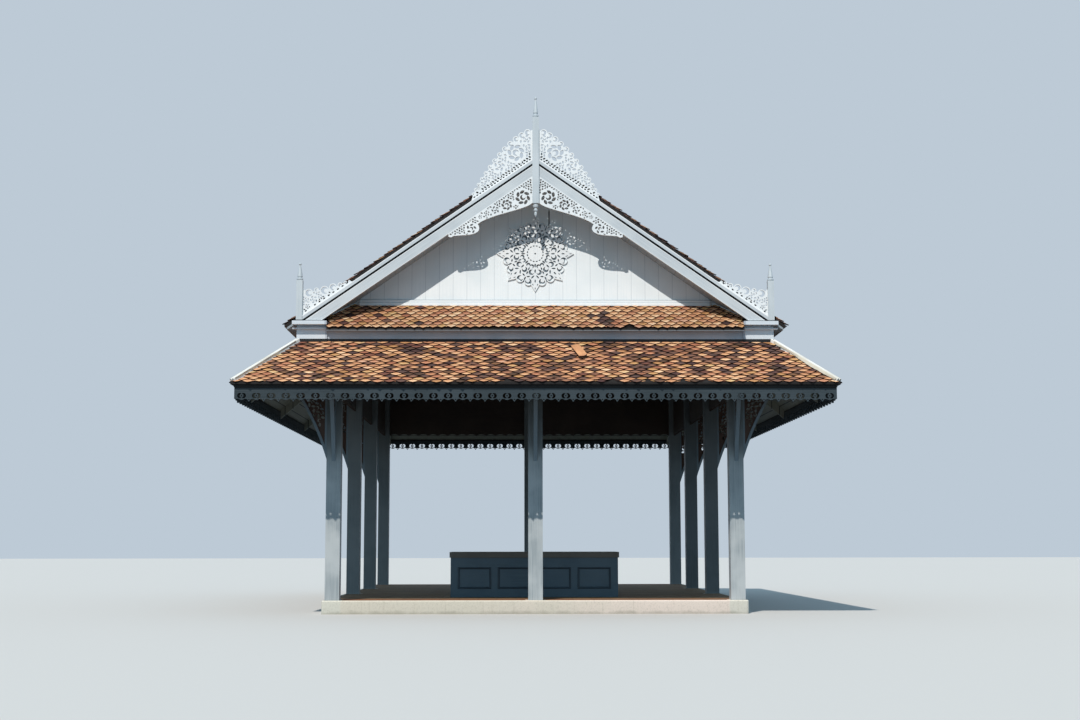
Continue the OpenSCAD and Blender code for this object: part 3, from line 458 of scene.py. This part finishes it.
def tile_shape(width, length, point, thick, tilt, steps):
    """One tile as rings of points along its head, just inside its tail, its tail, the tail's dark rim, and
    the underside of tail and head: (across, down, up). The tail line is down = -point * |u| ** power for
    u from -1 to 1, where the power is 1 for a tail of three points and 1.35 for a fuller one. The face
    rises by tilt along the tile and is crowned by CROWN * (1 - u ** 2)."""
    u = np.linspace(-1, 1, steps)
    tail = -point * np.abs(u) ** (1.0 if steps == 3 else 1.35)
    crown = CROWN * (1 - u ** 2)
    top_tail = np.stack([u * width / 2, tail, tilt * tail + crown], axis=1)
    top_head = np.stack([u * width / 2, np.full(steps, -length), -tilt * length + crown], axis=1)
    inside = top_tail - np.array([0, 1, tilt]) * HIGHLIGHT_INSET
    points = np.concatenate([top_head, inside, top_tail, top_tail, top_tail - (0, 0, thick),
                             top_head - (0, 0, thick)])
    ring = np.array([(0, 1), (1, 2), (3, 4), (4, 5), (5, 0)])[:, :, None] * steps + np.arange(steps - 1)
    quads = np.stack([ring[:, 0], ring[:, 1], ring[:, 1] + 1, ring[:, 0] + 1], axis=2).reshape(-1, 4)
    left = np.array([0, 5, 4, 3]) * steps
    right = np.array([3, 4, 5, 0]) * steps + steps - 1
    return points, np.concatenate([quads, [left, right]])


def fire(made, firing, kiln):
    """Stores each point's paleness from firing and painted shade and highlight, and its tile's part of the
    kiln.
    """
    for attribute, values in (("firing", firing), ("kiln", kiln)):
        made.data.attributes.new(attribute, "FLOAT", "POINT").data.foreach_set("value", np.ravel(values))


# How far a hand-laid tile is out: shift across, slip as a share of the exposure, wave of its row, twist
# in radians, and lift
SHIFT, SLIP, WAVE, TWIST, LIFT = 0.002, 0.08, 0.006, 0.03, 0.0025
SIDE_GAP, HEAD_LAP, LEAN, STARTER_IN = 0.003, 0.025, 0.85, 0.6


def tile_field(name, origin, axes, end, over, half_at, dark, seed, missing=(), *,
               pitch, exposure, point, steps, thick, rise):
    """Rows of tiles on one slope, counted from a starter row at the eave upwards: the tail of row k is at
    end + over - k * exposure down the slope, each row steps half a pitch, and the starter lies one
    thickness lower and part of a tile's point further up. Tile point = origin + across * a + down * s +
    normal * n, held inside half_at(s). A tile leans on the row under it."""
    chance = np.random.default_rng(seed)
    across, down, normal = axes
    rows = int((end + over) / exposure)
    count = int(2 * half_at(end) / pitch) + 3
    row, column = (grid.ravel() for grid in np.meshgrid(np.arange(-1, rows), np.arange(count), indexing="ij"))
    tail = end + over - np.where(row < 0, point * STARTER_IN, row * exposure)
    centre = (column - (count - 1) / 2 + 0.5 * (row % 2)) * pitch
    keep = np.abs(centre) < half_at(tail) + pitch * 0.4
    for gone_at, gone_row in missing:
        keep &= (row != gone_row) | (np.abs(centre - gone_at) > pitch / 2)
    row, tail, centre = row[keep], tail[keep], centre[keep]
    many = len(row)
    shape, quads = tile_shape(pitch - SIDE_GAP, exposure + point + HEAD_LAP, point, thick,
                              thick / exposure * LEAN, steps)
    centre = centre + chance.normal(0, SHIFT, many)
    wave = WAVE * np.sin(centre * 2.7 + seed) * np.sin(tail * 9.0)
    tail = tail + chance.normal(0, exposure * SLIP, many) + wave
    twist = chance.normal(0, TWIST, many)[:, None]
    lift = rise + np.abs(chance.normal(0, LIFT, many)) - np.where(row < 0, thick, 0)
    a = shape[:, 0] + centre[:, None] - twist * shape[:, 1]
    s = shape[:, 1] + tail[:, None] + twist * shape[:, 0]
    n = shape[:, 2] + lift[:, None]
    a = np.clip(a, -half_at(s), half_at(s))
    points = np.asarray(origin) + a[..., None] * across + s[..., None] * down + n[..., None] * normal
    faces = quads[None] + (np.arange(many) * len(shape))[:, None, None]
    made = piece(name, points, faces, clay, "clay_tile")
    # A share of dark tiles gathered in clouds; heads, rims and undersides are darker, partly dirt and
    # partly painted shade, and a strip just inside each tail is lighter as a painted highlight
    cloud = 0.5 + 0.25 * np.sin(centre * 2.1 + seed) * np.cos(tail * 5.0 - centre * 0.9) \
        + 0.25 * np.sin(centre * 5.3 - tail * 3.0 + 2 * seed)
    fired = np.clip(chance.normal(0.82 - 0.22 * dark, 0.11, many), 0.35, 1.0)
    darkened = chance.random(many) < dark * (0.35 + 1.3 * cloud)
    fired = np.where(darkened, chance.uniform(0.16, 0.46, many), fired)
    dirt_and_painted_light_by_ring = np.repeat([0.4, 1.12, 0.5, 0.15, 0.05, 0.05], steps)
    fire(made, fired[:, None] * dirt_and_painted_light_by_ring, np.repeat(chance.random(many), len(shape)))


SKIRT_TILE = {"pitch": 0.117, "exposure": 0.0390, "point": 0.041, "steps": 5, "thick": 0.011, "rise": 0.014}
SKIRT_GONE = ((-0.27, 0), (-0.27, -1), (0.72, 0), (0.72, -1), (1.47, 0), (1.06, 0), (1.66, 0))
MITRE_GAP = 0.01
skirt_sides = (("front", 0, HALF_W, HALF_D), ("right", 90, HALF_D, HALF_W),
               ("back", 180, HALF_W, HALF_D), ("left", 270, HALF_D, HALF_W))
skirt_end = (EAVE - FRIEZE) / np.cos(SKIRT_ANGLE)
for seed, (side, turned, half_run, half_off) in enumerate(skirt_sides, 11):
    outward, *axes = slope_axes(turned, SKIRT_ANGLE)
    origin = outward * (half_off + FRIEZE) + (0, 0, SKIRT_TOP)
    tile_field("skirt_tiles_" + side, origin, axes, skirt_end, over=0.016,
               half_at=lambda s: half_run + FRIEZE - MITRE_GAP + s * np.cos(SKIRT_ANGLE), dark=0.40,
               seed=seed, missing=SKIRT_GONE if side == "front" else (), **SKIRT_TILE)

# A slipped tile lies askew on the front skirt, its nibs broken, showing its whole length.
SLIPPED_X, SLIPPED_DOWN, SLIPPED_UP, SKEW = 0.485, 0.330, 0.044, np.radians(-21)
outward, across, down, normal = slope_axes(0, SKIRT_ANGLE)
points, faces = tile_shape(width=0.090, length=0.235, point=0.020, thick=0.010, tilt=0.02, steps=5)
turned_points = np.stack([points[:, 0] * np.cos(SKEW) - points[:, 1] * np.sin(SKEW),
                          points[:, 0] * np.sin(SKEW) + points[:, 1] * np.cos(SKEW)], axis=1)
middle = outward * (HALF_D + FRIEZE) + (SLIPPED_X, 0, SKIRT_TOP) + down * SLIPPED_DOWN + normal * SLIPPED_UP
points = middle + turned_points[:, :1] * across + turned_points[:, 1:] * down + points[:, 2:] * normal
slipped = piece("slipped_tile", points, faces, clay, "clay_tile")
# Painted shade: the slipped tile's tail, rim and underside are darker.
fire(slipped, np.repeat([0.66, 0.66, 0.5, 0.3, 0.1, 0.1], 5), np.full(len(points), 0.5))

# Hip caps: a double roll of lime plaster over each mitre of the skirt roof, run with a mould and
# whitened. Where it meets the tiles the mortar was smeared out by hand, in a cream strip of uneven width.
# Lime plaster gives a chalky white face with fine pits and patches of grey dirt.
plaster, tree, shader, place = new_finish("lime_plaster", 0.85, 0.3)
patch = add(tree, "TexNoise", {"Scale": 1000 / 333, "Detail": 6.0, "Vector": place})
patch = add(tree, "MapRange", {"interpolation_type": "SMOOTHSTEP", "From Min": 0.42, "From Max": 0.7,
                               "Value": patch})
tone = add(tree, "Mix", {"data_type": "RGBA", "Factor_Float": patch,
                         "A_Color": "#e7e5e0", "B_Color": "#cfcabf"})
pits = add(tree, "TexNoise", {"Scale": 1000 / 11.1, "Detail": 3.0, "Vector": place})
show(tree, shader, tone, pits, 0.0015)
dress(plaster, "hip_caps", "ridge_cap")

# Smeared mortar gives a rougher, sandy cream with darker patches where it has lost its lime.
mortar, tree, shader, place = new_finish("smeared_mortar", 0.9, 0.3)
patch = add(tree, "TexNoise", {"Scale": 1000 / 40, "Detail": 5.0, "Vector": place})
tone = add(tree, "Mix", {"data_type": "RGBA", "Factor_Float": patch,
                         "A_Color": "#dbd4c6", "B_Color": "#c5b8a0"})
grit = add(tree, "TexNoise", {"Scale": 1000 / 14.3, "Detail": 3.0, "Vector": place})
show(tree, shader, tone, grit, 0.003)


SUNK = 0.006


def smear(line, inward, normal, widths, height):
    """A strip along a line of points: for v from 0 to 1 it lies widths * v inward of the line and height *
    cos(v * 90 degrees) - SUNK * v over it, so that it dies into the tiles."""
    v = np.linspace(0, 1, 5)
    across = inward * (widths[:, None, None] * v[None, :, None])
    up = normal * (height * np.cos(v * np.pi / 2) - SUNK * v)[None, :, None]
    return (line[:, None, :] + across + up).reshape(-1, 3), grid_faces(len(line), len(v))


# The strip starts under the cap's edge. Only the front's right end was repaired generously, most of all
# half a metre down.
CAP_IN, CAP_FOOT, SMEAR_HEIGHT, RIPPLE, STATIONS, EVENED = 0.030, 0.028, 0.012, 0.012, 48, 5
SMEAR_THIN, SMEAR_WIDE, REPAIR, REPAIR_DOWN, REPAIR_LONG = 0.002, 0.010, 0.026, 0.5, 0.16
chance = np.random.default_rng(5)
smears = []
for side, turned, half_run, half_off in skirt_sides:
    outward, across, down, normal = slope_axes(turned, SKIRT_ANGLE)
    s = np.linspace(0.04, skirt_end - 0.02, STATIONS)[:, None]
    for hand in (-1, 1):
        reach = half_run + FRIEZE + s * np.cos(SKIRT_ANGLE) - CAP_IN
        line = outward * (half_off + FRIEZE) + (0, 0, SKIRT_TOP) + across * hand * reach + down * s \
            + normal * CAP_FOOT
        ripple = chance.normal(0, 1, STATIONS + EVENED - 1)
        ripple = np.abs(np.convolve(ripple, np.ones(EVENED) / EVENED, "valid"))
        widths = SMEAR_THIN
        if (side, hand) == ("front", 1):
            widths = SMEAR_WIDE + REPAIR * np.exp(-((s[:, 0] - REPAIR_DOWN) / REPAIR_LONG) ** 2)
        points, faces = smear(line, -hand * across, normal, widths + RIPPLE * ripple, SMEAR_HEIGHT)
        smears.append((points, faces if hand > 0 else faces[:, ::-1]))
piece("hip_mortar", *joined(*smears), mortar, "cap_mortar")

# Eave fringe: a pierced board along each eave, nailed to the rafter ends and painted slate blue, darkened
# as painted shade for the shade under the tile tails. Its top edge is painted near-black as painted shade
# under the tiles.
FRINGE_SHADE_LINE = 2.257
for name, along, ends in (("fringe_paint", "X", ("fringe_front", "fringe_back")),
                          ("side_fringe_paint", "Y", ("fringe_left", "fringe_right"))):
    finish, tree, shader = painted_timber(name, "#303b40", "#3c474d", 0.15, along=along)
    z = add(tree, "SeparateXYZ", {"Vector": add(tree, "TexCoord", out="Object")}, out="Z")
    # Painted shade: near-black above the shade line, under the tile tails.
    line_over(tree, shader, add(tree, "Math", {"operation": "GREATER_THAN", 0: z, 1: FRINGE_SHADE_LINE}), "#0f1516")
    dress(finish, *ends)

# Frieze: boards between the two roofs with moulded blocks and a slab at each corner that carry the
# bargeboards. The boards are a cool grey, darkened as painted shade for the shade of the foot roof; the
# blocks at the gable corners are painted paler as painted sunlight, and the foot is painted near-black as
# painted shade in the joint against the tiles.
FRIEZE_FOOT, BLOCK_X, BLOCK_Y = 2.820, 2.17, 3.25
# Painted shade: the boards' grey is darkened for the shade under the foot roof.
frieze_paint, tree, shader = painted_timber("frieze_paint", "#b3b9c0", "#bfc3ca", 0.12, along="X")
x = add(tree, "SeparateXYZ", {"Vector": add(tree, "TexCoord", out="Object")})
z = x.node.outputs["Z"]
painted_sunlit_blocks = []
for side, far in ((x, BLOCK_X), (x.node.outputs["Y"], BLOCK_Y)):
    side = add(tree, "Math", {"operation": "ABSOLUTE", 0: side})
    painted_sunlit_blocks.append(add(tree, "Math", {"operation": "GREATER_THAN", 0: side, 1: far}))
painted_sunlit_blocks = add(tree, "Math", {"operation": "MULTIPLY", 0: painted_sunlit_blocks[0], 1: painted_sunlit_blocks[1]})
# Painted sunlight: the corner blocks are paler.
line_over(tree, shader, painted_sunlit_blocks, "#dfe4e8")
# Painted shade: the foot is near-black, for the shade in the joint against the tiles.
line_over(tree, shader, add(tree, "Math", {"operation": "LESS_THAN", 0: z, 1: FRIEZE_FOOT}), "#15181a")
dress(frieze_paint, "frieze")

# Foot roof: rows of the small tiles on a boarded lean-to along the foot of each gable wall. A few tails
# are missing over the front eave, and a white fillet closes the tiles against the boxed verge at each end.
FOOT_TOP, FOOT_REACH, FOOT_ANGLE = 3.220, 0.450, np.radians(34)
MAIN_TOP, MAIN_REACH, MAIN_ANGLE, BARGE_BACK = 4.774, 2.590, np.radians(35), 3.535
LEDGE_IN, VERGE_SOFFIT, TILE_ENDS, FILLET_END, FILLET_WIDE = 2.155, 4.5872, 4.584, 0.205, 0.035
SMALL_TILE = {"pitch": 0.0965, "exposure": 0.0600, "point": 0.060, "steps": 3, "thick": 0.010, "rise": 0.022}
FOOT_GONE = ((0.97, 0), (0.90, -1), (0.99, -1), (1.28, -1))
dress(decking("foot_boards", "#9aa1a8", "#8a9198", edge=0.445, edge_colour="#868e95", half_x=ENDLESS,
              half_y=HALF_D, top=FOOT_TOP, reach=0.0, angle=FOOT_ANGLE, bed=0.012), "foot_roof")


def foot_half(s):
    """Half the width of the foot roof at s down its slope: it widens under the boxed verge, which falls
    0.7 m a metre from the middle, up to the corner ledges. Half = the smaller of the ledges' place and
    (height of the tiles' end line at the middle - height at s) / 0.7."""
    return np.minimum(LEDGE_IN, (TILE_ENDS - FOOT_TOP + s * np.sin(FOOT_ANGLE)) / 0.7)


fillets = []
for side, turned, gone in (("front", 0, FOOT_GONE), ("back", 180, ())):
    outward, *axes = slope_axes(turned, FOOT_ANGLE)
    across, down, normal = axes
    origin = outward * HALF_D + (0, 0, FOOT_TOP)
    tile_field("foot_tiles_" + side, origin, axes, FOOT_REACH / np.cos(FOOT_ANGLE), over=0.020,
               half_at=foot_half, dark=0.07, seed=21 + turned, missing=gone, **SMALL_TILE)
    out = np.linspace(0.0, FILLET_END, 8)[:, None]
    for hand in (-1, 1):
        verge = (VERGE_SOFFIT - FOOT_TOP + out * np.tan(FOOT_ANGLE)) / np.tan(MAIN_ANGLE)
        line = origin + across * hand * verge + down * out / np.cos(FOOT_ANGLE) \
            + normal * SMALL_TILE["rise"]
        points, faces = smear(line, -hand * across, normal, np.full(len(line), FILLET_WIDE), height=0.020)
        fillets.append((points, faces if hand > 0 else faces[:, ::-1]))
piece("verge_fillets", *joined(*fillets), plaster, "cap_mortar")

# Gable walls: upright boards of 145 mm, tongued together and painted white, over a moulding along the
# foot, with grey lines painted along its top and its cove as painted shade. One joint near the middle has
# opened near the top, and the wall behind the star is painted grey as painted shade, so its cuts look dark.
# Here and on the bargeboards a line has its middle, half its width and its colour.
WALL_BOARD, JOINT_X, BOARD_FOOT = 0.1455, 0.148, 3.287
MOULD_TOP_SHADE, MOULD_COVE_SHADE = (3.283, 0.004, "#9aa1a6"), (3.257, 0.005, "#cdd2d4")
GAP_MIDDLE, GAP_HALF, GAP_FADE, STAR_MIDDLE, STAR_SHADE_RADIUS = 4.165, 0.085, 0.015, 3.780, 0.325
JOINT_EDGE, JOINT_CORE, GAP_EDGE, GAP_CORE = 0.0032, 0.0015, 0.009, 0.005
wall_paint, tree, shader = painted_timber("wall_paint", "#eef1f1", "#e5eaeb", 0.05)
wall_x = add(tree, "SeparateXYZ", {"Vector": add(tree, "TexCoord", out="Object")})
z = wall_x.node.outputs["Z"]
x = add(tree, "Math", {"operation": "SUBTRACT", 0: wall_x, 1: JOINT_X})
seam = add(tree, "Math", {"operation": "PINGPONG", 0: x, 1: WALL_BOARD / 2})
seam = add(tree, "MapRange", {"From Min": JOINT_EDGE, "From Max": JOINT_CORE, "To Max": 0.6, "Value": seam})
boards = add(tree, "Math", {"operation": "GREATER_THAN", 0: z, 1: BOARD_FOOT})
line_over(tree, shader, add(tree, "Math", {"operation": "MULTIPLY", 0: seam, 1: boards}), "#b1b8bd")
# Painted shade: grey lines along the top and the cove of the moulding.
for middle, half, colour in (MOULD_TOP_SHADE, MOULD_COVE_SHADE):
    off = add(tree, "Math", {"operation": "SUBTRACT", 0: z, 1: middle})
    off = add(tree, "Math", {"operation": "ABSOLUTE", 0: off})
    line_over(tree, shader, add(tree, "Math", {"operation": "LESS_THAN", 0: off, 1: half}), colour)
gap = add(tree, "Math", {"operation": "ABSOLUTE", 0: x})
gap = add(tree, "MapRange", {"From Min": GAP_EDGE, "From Max": GAP_CORE, "Value": gap})
height = add(tree, "Math", {"operation": "SUBTRACT", 0: z, 1: GAP_MIDDLE})
height = add(tree, "Math", {"operation": "ABSOLUTE", 0: height})
height = add(tree, "MapRange", {"From Min": GAP_HALF + GAP_FADE, "From Max": GAP_HALF - GAP_FADE,
                                "Value": height})
line_over(tree, shader, add(tree, "Math", {"operation": "MULTIPLY", 0: gap, 1: height}), "#1e2428")
# Painted shade: the wall behind the star is grey, so that the star's cuts look dark.
disc = add(tree, "Math", {"operation": "SUBTRACT", 0: z, 1: STAR_MIDDLE})
disc = add(tree, "CombineXYZ", {"X": wall_x, "Y": disc})
disc = add(tree, "VectorMath", {"operation": "LENGTH", 0: disc}, out="Value")
line_over(tree, shader, add(tree, "Math", {"operation": "LESS_THAN", 0: disc, 1: STAR_SHADE_RADIUS}), "#6f7980")
dress(wall_paint, "gable_wall")

# Gable stars and the fretwork over, under and beside the bargeboards: hardwood boards sawn through by
# hand and painted a clean white, a little greyer in patches.
fret_paint = painted_timber("fret_paint", "#eeefee", "#e0e3e4", 0.05)[0]
dress(fret_paint, "gable_stars", "crest_fretwork", "barge_fretwork", "wing_fretwork")

# Main roof: the same small tiles in rows up to a plastered ridge, on boards that overhang the sides and
# are painted a cool grey from below.
dress(decking("main_boards", "#9aa2a7", "#868e93", edge=2.580, edge_colour="#9aa2a7", half_x=0.0,
              half_y=ENDLESS, top=MAIN_TOP, reach=0.0, angle=MAIN_ANGLE, bed=0.034), "main_roof")
for side, turned in (("right", 90), ("left", 270)):
    axes = slope_axes(turned, MAIN_ANGLE)[1:]
    tile_field("main_tiles_" + side, (0, 0, MAIN_TOP), axes, MAIN_REACH / np.cos(MAIN_ANGLE), over=0.018,
               half_at=lambda s: BARGE_BACK, dark=0.24, seed=31 + turned, **SMALL_TILE)

# Bargeboards: a raking pair on each gable with a run groove under a raised cap, painted pale grey-blue.
# The lower arris, the arris over the groove and the cap's arris are painted paler as painted highlights,
# the groove is painted dark as painted shade, and the feet are painted dark grey up to the blocks' top.
# Lines along them are given by the height that they would reach at the middle of the gable.
BARGE_FALL, BLOCK_TOP = 0.696, 3.010
LOWER_ARRIS, GROOVE = (4.5465, 0.0035, "#e3e6e7"), (4.6715, 0.0105, "#2d3439")
GROOVE_ARRIS, CAP_ARRIS = (4.6565, 0.004, "#e6e9ea"), (4.722, 0.006, "#eeeeee")
barge_paint, tree, shader = painted_timber("barge_paint", "#bcc2c6", "#cbd0d2", 0.15, along="X",
                                           slope=np.arctan(BARGE_FALL))
x = add(tree, "SeparateXYZ", {"Vector": add(tree, "TexCoord", out="Object")})
z = x.node.outputs["Z"]
fall = add(tree, "Math", {"operation": "ABSOLUTE", 0: x})
level = add(tree, "Math", {"operation": "MULTIPLY_ADD", 0: fall, 1: BARGE_FALL, 2: z})
# Painted highlights on the three arrises, and painted shade in the groove
for middle, half, colour in (LOWER_ARRIS, GROOVE, GROOVE_ARRIS, CAP_ARRIS):
    off = add(tree, "Math", {"operation": "SUBTRACT", 0: level, 1: middle})
    off = add(tree, "Math", {"operation": "ABSOLUTE", 0: off})
    line_over(tree, shader, add(tree, "Math", {"operation": "LESS_THAN", 0: off, 1: half}), colour)
line_over(tree, shader, add(tree, "Math", {"operation": "LESS_THAN", 0: z, 1: BLOCK_TOP}), "#4a5258")
dress(barge_paint, "bargeboards")

# King and finial posts: turned heads on square posts, painted with the bargeboards. Their feet are
# painted the same dark grey up to the top of the corner blocks.
post_finish, tree, shader = painted_timber("finial_paint", "#b9c1c5", "#c9cfd2", 0.12)
z = add(tree, "SeparateXYZ", {"Vector": add(tree, "TexCoord", out="Object")}, out="Z")
line_over(tree, shader, add(tree, "Math", {"operation": "LESS_THAN", 0: z, 1: BLOCK_TOP}), "#4a5258")
dress(post_finish, "king_posts", "finial_posts")

# Bench: a panelled box seat between the front bays, framed and painted slate, darker than the posts as
# painted shade for the deep shade under the roof, with a brown-grey lid.
# Each sunk panel is held by a mitred bead pinned round its edge.
# Painted shade: the bench's slate is darker than the posts' paint.
dress(painted_timber("bench_paint", "#4b616c", "#566b76", 0.08, along="X")[0], "bench_body")
dress(painted_timber("bench_lid_paint", "#5f5c53", "#6b675e", 0.15, along="X")[0], "bench_lid")
bead_paint = painted_timber("bead_paint", "#2e3f49", "#384a54", 0.05, along="X")[0]
BENCH_FRONT, BENCH_BACK, PANEL_SINK = -2.300, -1.550, 0.012
BENCH_RAIL, PANEL_W, PANEL_H, PANEL_STEP = 0.090, 0.365, 0.235, 0.436
bead = [(0.0, -PANEL_SINK), (0.0, 0.003), (-0.006, 0.006), (-0.013, 0.003), (-0.018, -0.006),
        (-0.022, -PANEL_SINK)]
beads = []
for x_panel in (np.arange(4) - 1.5) * PANEL_STEP:
    points, faces = carried(bead, PANEL_W / 2, PANEL_H / 2, radius=0.002, steps=2)
    up = PLINTH_TOP + BENCH_RAIL + PANEL_H / 2 + points[:, 1]
    beads.append((np.stack([x_panel + points[:, 0], BENCH_FRONT - points[:, 2], up], axis=1), faces))
    beads.append((np.stack([x_panel - points[:, 0], BENCH_BACK + points[:, 2], up], axis=1), faces))
piece("bench_beads", *joined(*beads), bead_paint, "bench_paint")

# Which lamp lights what: the low one the gables and their foot roofs, the steep one everything else.
gable_pieces = ("gable", "barge", "crest", "wing", "king", "finial", "foot_", "verge")
for made in list(scene.objects):
    if made.type == "MESH":
        lit_by["gable_lamp" if made.name.startswith(gable_pieces) else "eave_lamp"].objects.link(made)
